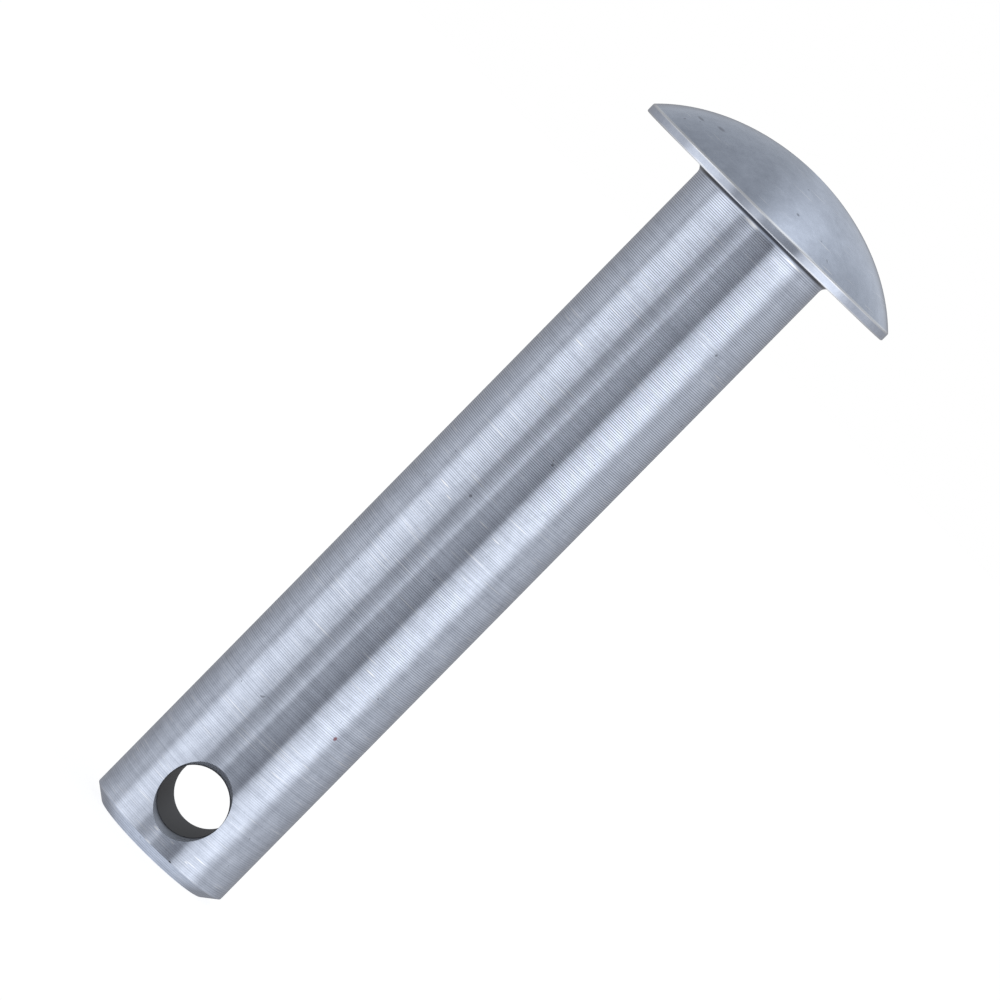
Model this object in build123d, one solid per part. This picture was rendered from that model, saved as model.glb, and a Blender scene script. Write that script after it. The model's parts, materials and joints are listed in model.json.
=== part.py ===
from build123d import *
import os
from math import acos, degrees, sin

# Clevis pin with a low domed head, turned in one piece from steel bar.
# Millimetres. The pin stands on its free end: the origin is the centre of the
# flat end face, +Z runs up the shank to the head, and the hole for the split
# pin lies along Y.

# Shank
shank_diameter = 10.0
shank_length = 51.3        # from the free end to the underside of the head
end_chamfer_length = 0.7   # lead-in at the free end, along the shank
end_chamfer_depth = 0.9    # and across it, on the radius
neck_fillet = 0.3          # root of the head

# Head
head_diameter = 19.2
rim_height = 0.57          # the straight band round the head, under the dome
dome_height = 3.7          # from the top of the band to the crown
dome_fullness = 1.26       # half width of the dome's ellipse over the head's radius
rim_edge_radius = 0.1      # broken edges above and below the band

# Hole for the split pin
hole_diameter = 4.25
hole_to_end = 4.2          # from the hole's axis to the free end
mouth_diameter = 4.8       # of the 90 degree countersink, on the crest of the shank

shank_radius = shank_diameter / 2
head_radius = head_diameter / 2
rim_top = shank_length + rim_height
crown_top = rim_top + dome_height


def turned_profile():
    """Half section of the pin in the XZ plane, from the free end to the crown."""
    # The dome is the top of an ellipse a little wider than the head, so that it
    # is flattest at the crown and still meets the band at an edge.
    ellipse_width = dome_fullness * head_radius
    rim_angle = acos(head_radius / ellipse_width)
    ellipse_height = dome_height / (1 - sin(rim_angle))

    with BuildSketch(Plane.XZ) as section:
        with BuildLine():
            Polyline(
                (0, crown_top),
                (0, 0),
                (shank_radius - end_chamfer_depth, 0),
                (shank_radius, end_chamfer_length),
                (shank_radius, shank_length),
                (head_radius, shank_length),
                (head_radius, rim_top),
            )
            EllipticalCenterArc(
                center=(0, crown_top - ellipse_height),
                x_radius=ellipse_width,
                y_radius=ellipse_height,
                start_angle=degrees(rim_angle),
                arc_size=90 - degrees(rim_angle),
            )
        make_face()
    return section.sketch


def rings(solid):
    """The solid's circular edges, the narrowest first."""
    return solid.edges().filter_by(GeomType.CIRCLE).sort_by(SortBy.RADIUS)


def turned_blank():
    """The pin as it leaves the lathe, with its rim broken and its root filleted."""
    blank = revolve(turned_profile(), axis=Axis.Z)
    rim = rings(blank)[-2:]
    blank = fillet(rim, rim_edge_radius)
    root = rings(blank).filter_by_position(Axis.Z, shank_length, shank_length)[0]
    return fillet(root, neck_fillet)


def split_pin_cutter():
    """The drill's cylinder with a 90 degree countersink at each side of the shank."""
    hole_radius = hole_diameter / 2
    # A 90 degree cone goes as deep as it is wide of the hole.
    cone_depth = mouth_diameter / 2 - hole_radius
    wall_end = shank_radius - cone_depth
    reach = shank_radius + hole_radius
    with BuildSketch(Plane.XY) as half:
        with BuildLine():
            Polyline(
                (0, -reach),
                (hole_radius + reach - wall_end, -reach),
                (hole_radius, -wall_end),
                (hole_radius, wall_end),
                (hole_radius + reach - wall_end, reach),
                (0, reach),
                close=True,
            )
        make_face()
    return Pos(0, 0, hole_to_end) * revolve(half.sketch, axis=Axis.Y)


clevis_pin = turned_blank() - split_pin_cutter()
clevis_pin.label = "clevis_pin"

os.makedirs("parts", exist_ok=True)
export_step(clevis_pin, "parts/clevis_pin.step")
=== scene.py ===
import json
from math import acos, ceil, cos, pi, radians, sin, tan

import bpy
from mathutils import Matrix, Vector


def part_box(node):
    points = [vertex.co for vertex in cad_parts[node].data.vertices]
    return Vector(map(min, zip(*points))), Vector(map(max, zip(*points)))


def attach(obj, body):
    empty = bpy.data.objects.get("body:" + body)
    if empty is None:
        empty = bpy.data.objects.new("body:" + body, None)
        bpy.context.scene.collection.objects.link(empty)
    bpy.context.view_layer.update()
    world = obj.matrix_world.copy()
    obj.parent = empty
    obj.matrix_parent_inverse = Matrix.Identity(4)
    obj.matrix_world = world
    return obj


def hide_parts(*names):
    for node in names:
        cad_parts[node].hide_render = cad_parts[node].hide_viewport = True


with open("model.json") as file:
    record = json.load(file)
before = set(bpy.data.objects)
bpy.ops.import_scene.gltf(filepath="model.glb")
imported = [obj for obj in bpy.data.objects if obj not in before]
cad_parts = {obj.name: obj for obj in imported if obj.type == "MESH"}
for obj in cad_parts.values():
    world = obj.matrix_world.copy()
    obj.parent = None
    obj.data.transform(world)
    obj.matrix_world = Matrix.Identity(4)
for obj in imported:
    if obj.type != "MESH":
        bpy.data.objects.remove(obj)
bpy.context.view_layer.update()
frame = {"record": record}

# ---------------------------------------------------------------- sizes, in metres
MM = 0.001
mounts = {mount["name"]: mount for mount in frame["record"]["mounts"]}
head_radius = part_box("clevis_pin")[1].x
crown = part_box("clevis_pin")[1].z
shank_radius = mounts["shank"]["dims"]["r_mm"] * MM
underside = mounts["head_seat"]["pos_m"][2]
hole_radius = mounts["split_pin_hole"]["dims"]["r_mm"] * MM
hole_height = mounts["split_pin_hole"]["pos_m"][2]

CHAMFER_LENGTH = 0.7 * MM
CHAMFER_DEPTH = 0.9 * MM
NECK_FILLET = 0.5 * MM
RIM_HEIGHT = 0.57 * MM
RIM_EDGE = 0.1 * MM
DOME_FULLNESS = 1.26
MOUTH_RADIUS = 2.52 * MM
MOUTH_ANGLE = 38           # degrees between the countersink's side and the hole's axis
WORN_EDGE = 0.06 * MM      # what handling has taken off the chamfer's corners
RING_PITCH = 0.13 * MM     # feed of the turning tool, from one ring to the next
GROOVE_DEPTH = 0.0012 * MM

SEGMENTS = 320             # round the pin
LONGEST_RUN = 1.2 * MM     # between rings of vertices


# ---------------------------------------------------------------- shape
def rounded_outline(corners):
    """Points of an outline in (radius, height) whose corners, (radius, height, rounding), are arcs."""
    points = []
    for i, (radius, height, rounding) in enumerate(corners):
        corner = Vector((radius, height))
        if not rounding:
            points.append(corner)
            continue
        to_last = (Vector(corners[i - 1][:2]) - corner).normalized()
        to_next = (Vector(corners[i + 1][:2]) - corner).normalized()
        half_angle = to_last.angle(to_next) / 2
        centre = corner + (to_last + to_next).normalized() * rounding / sin(half_angle)
        start = corner + to_last * rounding / tan(half_angle) - centre
        end = corner + to_next * rounding / tan(half_angle) - centre
        steps = 8
        for step in range(steps + 1):
            points.append(centre + start.lerp(end, step / steps).normalized() * rounding)
    return points


def divided(points, longest):
    """The same outline with its long straight runs divided, so that no run is over the longest."""
    fine = [points[0]]
    for last, point in zip(points, points[1:]):
        parts = ceil((point - last).length / longest)
        fine += [last.lerp(point, part / parts) for part in range(1, parts + 1)]
    return fine


def lathe(name, outline):
    """A closed mesh turned about Z. The outline's first and last points lie on the axis."""
    vertices = [(0, 0, outline[0].y)]
    for point in outline[1:-1]:
        for segment in range(SEGMENTS):
            turn = 2 * pi * segment / SEGMENTS
            vertices.append((point.x * cos(turn), point.x * sin(turn), point.y))
    vertices.append((0, 0, outline[-1].y))
    rings = len(outline) - 2
    top = len(vertices) - 1
    faces = []
    for segment in range(SEGMENTS):
        following = (segment + 1) % SEGMENTS
        faces.append((0, 1 + following, 1 + segment))
        for ring in range(rings - 1):
            low, high = 1 + ring * SEGMENTS, 1 + (ring + 1) * SEGMENTS
            faces.append((low + segment, low + following, high + following, high + segment))
        last = 1 + (rings - 1) * SEGMENTS
        faces.append((last + segment, last + following, top))
    mesh = bpy.data.meshes.new(name)
    mesh.from_pydata(vertices, [], faces)
    mesh.update()
    piece = bpy.data.objects.new(name, mesh)
    bpy.context.scene.collection.objects.link(piece)
    return piece


def pin_outline():
    """Half section of the pin, from the centre of its end face to its crown."""
    rim_top = underside + RIM_HEIGHT
    ellipse_width = DOME_FULLNESS * head_radius
    rim_angle = acos(head_radius / ellipse_width)
    ellipse_height = (crown - rim_top) / (1 - sin(rim_angle))
    steps = 40
    angles = [rim_angle + (pi / 2 - rim_angle) * step / steps for step in range(1, steps + 1)]
    dome = [
        Vector((ellipse_width * cos(angle), crown + ellipse_height * (sin(angle) - 1)))
        for angle in angles
    ]
    dome[-1].x = 0
    corners = [
        (0, 0, 0),
        (shank_radius - CHAMFER_DEPTH, 0, WORN_EDGE),
        (shank_radius, CHAMFER_LENGTH, WORN_EDGE),
        (shank_radius, underside, NECK_FILLET),
        (head_radius, underside, RIM_EDGE),
        (head_radius, rim_top, RIM_EDGE),
        (*dome[0], 0),
    ]
    return divided(rounded_outline(corners) + dome[1:], LONGEST_RUN)


def drill_outline():
    """Half section of the drill and its countersinks, along the drill's own axis."""
    flare = tan(radians(MOUTH_ANGLE))
    wall_end = shank_radius - (MOUTH_RADIUS - hole_radius) / flare
    reach = 1.2 * shank_radius
    cone_end = hole_radius + (reach - wall_end) * flare
    corners = [(0, -reach), (cone_end, -reach), (hole_radius, -wall_end)]
    corners += [(hole_radius, wall_end), (cone_end, reach), (0, reach)]
    return divided([Vector(corner) for corner in corners], LONGEST_RUN)


def drilled_pin():
    """The turned blank with the hole for the split pin cut through it along Y."""
    pin = lathe("clevis_pin_body", pin_outline())
    drill = lathe("drill", drill_outline())
    drill.matrix_world = Matrix.Translation((0, 0, hole_height)) @ Matrix.Rotation(pi / 2, 4, "X")
    pin.data.materials.append(turned_steel())
    drill.data.materials.append(drilled_wall())
    cut = pin.modifiers.new("cut", "BOOLEAN")
    cut.object = drill
    cut.solver = "EXACT"
    cut.material_mode = "TRANSFER"
    apply_modifiers(pin)
    bpy.data.objects.remove(drill)
    pin.data.shade_smooth()
    pin.data.set_sharp_from_angle(angle=radians(28))
    weigh = pin.modifiers.new("weigh", "WEIGHTED_NORMAL")
    weigh.keep_sharp = True
    apply_modifiers(pin)
    return pin


def apply_modifiers(piece):
    """Keeps what the piece's modifiers make of it as its own mesh."""
    evaluated = piece.evaluated_get(bpy.context.evaluated_depsgraph_get())
    mesh = bpy.data.meshes.new_from_object(evaluated)
    piece.modifiers.clear()
    piece.data = mesh


# ---------------------------------------------------------------- materials
class Nodes:
    """A node tree, with short calls that add nodes and join them."""

    def __init__(self, tree):
        self.tree = tree
        tree.nodes.clear()

    def add(self, kind, inputs=None, **settings):
        node = self.tree.nodes.new(kind)
        for setting, value in settings.items():
            setattr(node, setting, value)
        for socket, value in (inputs or {}).items():
            self.put(node.inputs[socket], value)
        return node

    def put(self, socket, value):
        if isinstance(value, bpy.types.NodeSocket):
            self.tree.links.new(value, socket)
        else:
            socket.default_value = value

    def math(self, operation, *values, clamp=False):
        inputs = dict(enumerate(values))
        return self.add("ShaderNodeMath", inputs, operation=operation, use_clamp=clamp).outputs[0]

    def smooth(self, value, start, end, low=0.0, high=1.0):
        inputs = {"Value": value, "From Min": start, "From Max": end, "To Min": low, "To Max": high}
        node = self.add("ShaderNodeMapRange", inputs, interpolation_type="SMOOTHSTEP")
        return node.outputs["Result"]

    def mix(self, factor, first, second):
        node = self.add("ShaderNodeMix", {"Factor": factor}, data_type="RGBA")
        self.put(node.inputs[6], first)
        self.put(node.inputs[7], second)
        return node.outputs[2]

    def noise(self, vector, detail=2.0, roughness=0.5):
        inputs = {"Vector": vector, "Scale": 1.0, "Detail": detail, "Roughness": roughness}
        return self.add("ShaderNodeTexNoise", inputs).outputs["Fac"]

    def scaled(self, vector, scale):
        inputs = {"Vector": vector, "Scale": scale}
        return self.add("ShaderNodeMapping", inputs, vector_type="POINT").outputs[0]


def new_material(name):
    material = bpy.data.materials.new(name)
    material.use_nodes = True
    return material, Nodes(material.node_tree)


# Marks that handling has left on the pin, and two painted highlights on the neck fillet: degrees round
# from the front, height, half length round the pin and half height, in mm, and the tone, above 0 for
# bright metal and below for dark.
MARKS_AND_NECK_HIGHLIGHTS = [
    (-3.0, 0.72, 0.35, 0.05, 0.9), (17.5, 0.74, 0.16, 0.07, -0.9), (-5.0, 1.62, 0.30, 0.07, 0.8),
    (9.5, 1.66, 0.22, 0.06, 0.6), (26.0, 1.35, 0.18, 0.06, 0.7), (33.0, 1.95, 0.75, 0.05, 0.8),
    (30.0, 1.45, 0.60, 0.04, 0.7), (-31.0, 27.7, 0.60, 0.06, 1.0), (25.0, 16.8, 0.55, 0.06, 0.9),
    (-21.0, 27.3, 0.35, 0.05, 0.9), (9.0, 27.6, 0.50, 0.05, 0.8), (23.0, 27.4, 0.45, 0.05, 0.9),
    (-33.0, 39.0, 0.60, 0.05, 1.0), (12.0, 33.1, 0.06, 0.06, -0.7), (-38.0, 21.0, 0.07, 0.07, -0.6),
    # The first two here, at 50.95 and 50.88 mm, are painted highlights on the neck fillet, not marks.
    (-5.0, 50.95, 0.80, 0.14, 1.0), (36.0, 50.88, 1.20, 0.08, 0.9), (-58.0, 53.2, 0.35, 0.10, -0.45),
    (-48.0, 53.6, 0.35, 0.12, -0.4), (9.0, 53.2, 0.10, 0.08, -0.5),
]


def place_on_pin(nodes):
    """The place itself, its angle round from the front, its height and its distance from the axis."""
    place = nodes.add("ShaderNodeTexCoord").outputs["Object"]
    split = nodes.add("ShaderNodeSeparateXYZ", {0: place})
    ahead = nodes.math("MULTIPLY", split.outputs["Y"], -1.0)
    turn = nodes.math("ARCTAN2", split.outputs["X"], ahead)
    flat = nodes.scaled(place, (1, 1, 0))
    radius = nodes.add("ShaderNodeVectorMath", {0: flat}, operation="LENGTH").outputs["Value"]
    return place, turn, split.outputs["Z"], radius


def distance(nodes, along, up):
    """The distance made by two differences at right angles."""
    squares = [nodes.math("POWER", side, 2.0) for side in (along, up)]
    return nodes.math("SQRT", nodes.math("ADD", *squares))


def marks_and_neck_highlights(nodes, turn, height):
    """The sum of the small marks' tones and of the two painted highlights on the neck, fading out at
    each one's edge.
    """
    total = 0.0
    for angle, level, half_length, half_height, tone in MARKS_AND_NECK_HIGHLIGHTS:
        per_turn = shank_radius / (half_length * MM)
        along = nodes.math("MULTIPLY_ADD", turn, per_turn, -radians(angle) * per_turn)
        up = nodes.math("MULTIPLY_ADD", height, 1 / (half_height * MM), -level / half_height)
        spot = nodes.smooth(distance(nodes, along, up), 1.0, 0.3)
        total = nodes.math("MULTIPLY_ADD", spot, tone, total)
    return total


def rust_share(nodes, turn, height):
    """The one small reddish speck, low on the shank and to the right."""
    along = nodes.math("MULTIPLY", nodes.math("SUBTRACT", turn, radians(41.5)), shank_radius)
    up = nodes.math("SUBTRACT", height, 12.55 * MM)
    return nodes.smooth(distance(nodes, along, up), 0.17 * MM, 0.08 * MM, 0.0, 0.8)


def turning_grooves(nodes, place, height, on_head):
    """The turning tool's rings and finer streaks, worn toward the free end and gone on the head."""
    wander = nodes.noise(nodes.scaled(place, (90, 90, 500)))
    shift = nodes.math("MULTIPLY", wander, 2.0)
    phase = nodes.math("MULTIPLY_ADD", height, 2 * pi / RING_PITCH, shift)
    swell = nodes.noise(nodes.scaled(place, (30, 30, 260)), detail=1.0)
    worn = nodes.smooth(height, 2 * MM, underside - 8 * MM, 0.25, 1.0)
    depth = nodes.math("MULTIPLY", nodes.smooth(swell, 0.3, 0.7, 0.3, 0.9), worn)
    rings = nodes.math("MULTIPLY", nodes.math("SINE", phase), depth)
    streaks = nodes.noise(nodes.scaled(place, (60, 60, 6000)), detail=3.0, roughness=0.65)
    ring_share = nodes.math("SUBTRACT", 1.0, on_head)
    return nodes.math("MULTIPLY", nodes.math("ADD", rings, streaks), ring_share)


def bare_metal(nodes, place, grooves, on_head):
    """The steel's own colour, lighter between the grooves and mottled by its grain."""
    grain = nodes.noise(nodes.scaled(place, (900, 900, 900)), detail=5.0, roughness=0.8)
    mottle = nodes.math("MULTIPLY_ADD", grain, 1.1, -0.55)
    plain = nodes.math("MAXIMUM", grooves, nodes.math("MULTIPLY", on_head, 0.62))
    tone = nodes.math("ADD", plain, mottle)
    return nodes.mix(tone, (0.43, 0.47, 0.55, 1), (0.80, 0.86, 0.98, 1))


def bright_share(nodes, place, height, marks_and_highlights):
    """Bright metal in fine scratches and in the larger marks, and painted highlights at the neck and
    along the rim's two rounded edges.
    """
    scratch = nodes.noise(nodes.scaled(place, (350, 350, 16000)), detail=1.0)
    bright = nodes.math("MAXIMUM", nodes.smooth(scratch, 0.68, 0.77, 0.0, 0.7), marks_and_highlights)
    for edge in (underside, underside + RIM_HEIGHT):
        from_edge = nodes.math("ABSOLUTE", nodes.math("SUBTRACT", height, edge))
        # Painted highlight: a bright line round the pin at each of the rim's edges.
        painted_edge_highlight = nodes.smooth(from_edge, 1.1 * RIM_EDGE, 0.4 * RIM_EDGE)
        bright = nodes.math("MAXIMUM", bright, painted_edge_highlight)
    return nodes.math("MAXIMUM", bright, 0.0)


def dark_share(nodes, place, marks_and_highlights):
    """Small pits and the darker marks."""
    pits = nodes.noise(nodes.scaled(place, (2600, 2600, 2600)), detail=0.0)
    dark_marks = nodes.math("MULTIPLY", marks_and_highlights, -1.0)
    dark = nodes.math("MAXIMUM", nodes.smooth(pits, 0.84, 0.90, 0.0, 0.5), dark_marks)
    return nodes.math("MAXIMUM", dark, 0.0)


def painted_neck_shade(nodes, height, radius):
    """Painted shade: the dark line in the corner under the head."""
    near_neck = nodes.smooth(radius, shank_radius + 0.8 * MM, shank_radius + 0.6 * MM)
    in_corner = nodes.smooth(height, underside - 0.31 * MM, underside - 0.17 * MM, 0.0, 0.93)
    under_head = nodes.smooth(height, underside + 0.05 * MM, underside)
    return nodes.math("MULTIPLY", nodes.math("MULTIPLY", near_neck, in_corner), under_head)


def turned_steel():
    """Bare steel with the turning tool's rings round the shank and what handling left on it, with
    painted highlights at the neck and the rim's edges and painted shade in the corner under the head.
    """
    material, nodes = new_material("turned_steel")
    place, turn, height, radius = place_on_pin(nodes)
    on_head = nodes.smooth(height, underside - 0.5 * MM, underside)
    grooves = turning_grooves(nodes, place, height, on_head)
    marks_and_highlights = marks_and_neck_highlights(nodes, turn, height)
    colour = bare_metal(nodes, place, grooves, on_head)
    # The bright metal of scratches and marks, with the painted highlights at the neck and along the
    # rim's edges.
    colour = nodes.mix(bright_share(nodes, place, height, marks_and_highlights), colour, (0.97, 0.98, 1.0, 1))
    colour = nodes.mix(dark_share(nodes, place, marks_and_highlights), colour, (0.06, 0.06, 0.07, 1))
    # Painted shade: the dark line in the corner under the head.
    colour = nodes.mix(painted_neck_shade(nodes, height, radius), colour, (0.05, 0.05, 0.06, 1))
    colour = nodes.mix(rust_share(nodes, turn, height), colour, (0.25, 0.06, 0.07, 1))
    bump = nodes.add(
        "ShaderNodeBump", {"Height": grooves, "Distance": GROOVE_DEPTH, "Strength": 1.0}
    )
    tangent = nodes.add("ShaderNodeTangent", direction_type="RADIAL", axis="Z")
    steel = nodes.add(
        "ShaderNodeBsdfPrincipled",
        {
            "Base Color": colour,
            "Metallic": 1.0,
            "Roughness": 0.25,
            "Anisotropic": 0.9,
            "Anisotropic Rotation": 0.25,
            "Normal": bump.outputs[0],
            "Tangent": tangent.outputs[0],
        },
    )
    nodes.add("ShaderNodeOutputMaterial", {"Surface": steel.outputs[0]})
    return material


def drilled_wall():
    """The drill's rough wall, coloured near black as painted shade inside the hole, and its bright
    mouths.
    """
    material, nodes = new_material("drilled_wall")
    place = nodes.add("ShaderNodeTexCoord").outputs["Object"]
    inputs = {0: place, 1: (0, 0, hole_height)}
    from_axis = nodes.add("ShaderNodeVectorMath", inputs, operation="SUBTRACT")
    flat = nodes.scaled(from_axis.outputs[0], (1, 0, 1))
    radius = nodes.add("ShaderNodeVectorMath", {0: flat}, operation="LENGTH").outputs["Value"]
    streaks = nodes.noise(nodes.scaled(place, (300, 4000, 300)), detail=3.0)
    # Painted shade: the wall's colour is near black for the shade inside the hole.
    wall = nodes.mix(streaks, (0.010, 0.010, 0.013, 1), (0.028, 0.028, 0.035, 1))
    mouth = nodes.mix(streaks, (0.66, 0.70, 0.79, 1), (0.86, 0.90, 0.98, 1))
    in_mouth = nodes.smooth(radius, hole_radius - 0.01 * MM, hole_radius + 0.18 * MM)
    bump = nodes.add("ShaderNodeBump", {"Height": streaks, "Distance": 4e-6, "Strength": 1.0})
    steel = nodes.add(
        "ShaderNodeBsdfPrincipled",
        {
            "Base Color": nodes.mix(in_mouth, wall, mouth),
            "Metallic": in_mouth,
            "Specular IOR Level": 0.1,
            "Roughness": 0.4,
            "Normal": bump.outputs[0],
        },
    )
    nodes.add("ShaderNodeOutputMaterial", {"Surface": steel.outputs[0]})
    return material


# ---------------------------------------------------------------- studio
# The tent round the pin: degrees from the front, to the right above 0, and the light's level,
# tuned until the bands on the shank agreed with the photo's.
TENT = [
    (-180, 0.27), (-137, 0.37), (-112, 0.53), (-98, 0.66), (-86, 0.57), (-76, 1.06),
    (-65, 1.13), (-52, 1.03), (-44, 0.88), (-35, 0.80), (-29, 0.38), (-20, 0.46),
    (-13, 0.59), (-6, 0.83), (0, 0.34), (8, 0.33), (18, 0.28), (31, 0.20),
    (35, 0.71), (44, 1.00), (58, 1.22), (68, 1.30), (75, 1.15), (86, 0.66),
    (93, 0.58), (104, 0.62), (122, 0.53), (141, 0.40), (180, 0.27),
]


def roof_light(nodes, aside, ahead):
    """The tent's roof: a light seam just right of its middle, and darker cloth to the left."""
    from_seam = nodes.math("ABSOLUTE", nodes.math("SUBTRACT", aside, 0.17))
    seam_level = nodes.smooth(ahead, -1.0, 0.0, 0.12, 0.50)
    seam = nodes.math("MULTIPLY", nodes.smooth(from_seam, 0.36, 0.0), seam_level)
    cloth_level = nodes.smooth(ahead, -1.0, -0.4, 0.49, 0.385)
    cloth = nodes.math("MULTIPLY_ADD", aside, 0.09, cloth_level)
    return nodes.math("ADD", cloth, seam)


def studio_world():
    """A round light tent: a soft box each side of the camera, a slit between them, grey behind."""
    world = bpy.data.worlds.new("studio")
    bpy.context.scene.world = world
    world.use_nodes = True
    nodes = Nodes(world.node_tree)
    direction = nodes.add("ShaderNodeTexCoord").outputs["Generated"]
    split = nodes.add("ShaderNodeSeparateXYZ", {0: direction})
    ahead = nodes.math("MULTIPLY", split.outputs["Y"], -1.0)
    azimuth = nodes.math("ARCTAN2", split.outputs["X"], ahead)
    share = nodes.math("MULTIPLY_ADD", azimuth, 1 / (2 * pi), 0.5)
    tent = nodes.add("ShaderNodeValToRGB", {"Fac": share})
    ramp = tent.color_ramp
    ramp.elements[0].position = 0
    ramp.elements[1].position = 1
    for angle, _ in TENT[1:-1]:
        ramp.elements.new(0.5 + angle / 360)
    for element, (_, level) in zip(ramp.elements, TENT):
        element.color = (level, 1.01 * level, 1.03 * level + 0.01, 1)
    roof_level = roof_light(nodes, split.outputs["X"], ahead)
    roof = nodes.mix(roof_level, (0, 0, 0, 1), (0.95, 0.99, 1.05, 1))
    overhead = nodes.smooth(split.outputs["Z"], 0.06, 0.34)
    sky = nodes.mix(overhead, tent.outputs[0], roof)
    underneath = nodes.smooth(split.outputs["Z"], -0.55, -0.88)
    sky = nodes.mix(underneath, sky, (0.74, 0.77, 0.83, 1))
    # Only the camera sees white: the metal shows the tent, which gives it its dark bands.
    sees_white = nodes.add("ShaderNodeLightPath").outputs["Is Camera Ray"]
    colour = nodes.mix(sees_white, sky, (1, 1, 1, 1))
    background = nodes.add("ShaderNodeBackground", {"Color": colour, "Strength": 1.0})
    nodes.add("ShaderNodeOutputWorld", {"Surface": background.outputs[0]})


def studio_floor():
    """A plain floor that the camera sees as almost white, and that the metal doesn't show."""
    half = 2.0
    mesh = bpy.data.meshes.new("floor")
    corners = [(-half, -half, 0), (half, -half, 0), (half, half, 0), (-half, half, 0)]
    mesh.from_pydata(corners, [], [(0, 1, 2, 3)])
    floor = bpy.data.objects.new("floor", mesh)
    bpy.context.scene.collection.objects.link(floor)
    material, nodes = new_material("white_floor")
    paint = nodes.add("ShaderNodeBsdfDiffuse", {"Color": (0.35, 0.35, 0.35, 1)})
    seen = nodes.add("ShaderNodeLightPath").outputs["Is Camera Ray"]
    glow = nodes.add("ShaderNodeEmission", {"Strength": nodes.math("MULTIPLY", seen, 0.86)})
    both = nodes.add("ShaderNodeAddShader", {0: paint.outputs[0], 1: glow.outputs[0]})
    nodes.add("ShaderNodeOutputMaterial", {"Surface": both.outputs[0]})
    mesh.materials.append(material)
    floor.visible_glossy = False


def studio_camera():
    """A long lens nearly level with the pin, rolled so that the pin lies across the frame."""
    azimuth, elevation, roll = radians(2.2), radians(3.4), radians(44.55)
    distance = 465 * MM
    back = Vector((sin(azimuth) * cos(elevation), -cos(azimuth) * cos(elevation), sin(elevation)))
    right = Vector((cos(azimuth), sin(azimuth), 0))
    up = back.cross(right)
    data = bpy.data.cameras.new("camera")
    data.sensor_width = 36
    data.lens = 285.5
    data.clip_start = 0.05
    camera = bpy.data.objects.new("camera", data)
    bpy.context.scene.collection.objects.link(camera)
    target = Vector((0, 0, 26 * MM)) + right * 0.24 * MM + up * 3.0 * MM
    across = right * cos(roll) + up * sin(roll)
    along = up * cos(roll) - right * sin(roll)
    turn = Matrix((across, along, back)).transposed().to_4x4()
    camera.matrix_world = Matrix.Translation(target + back * distance) @ turn
    bpy.context.scene.camera = camera


# ---------------------------------------------------------------- scene
pin = drilled_pin()
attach(pin, "root")
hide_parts("clevis_pin")

studio_world()
studio_floor()
studio_camera()
bpy.context.scene.view_settings.view_transform = "Standard"
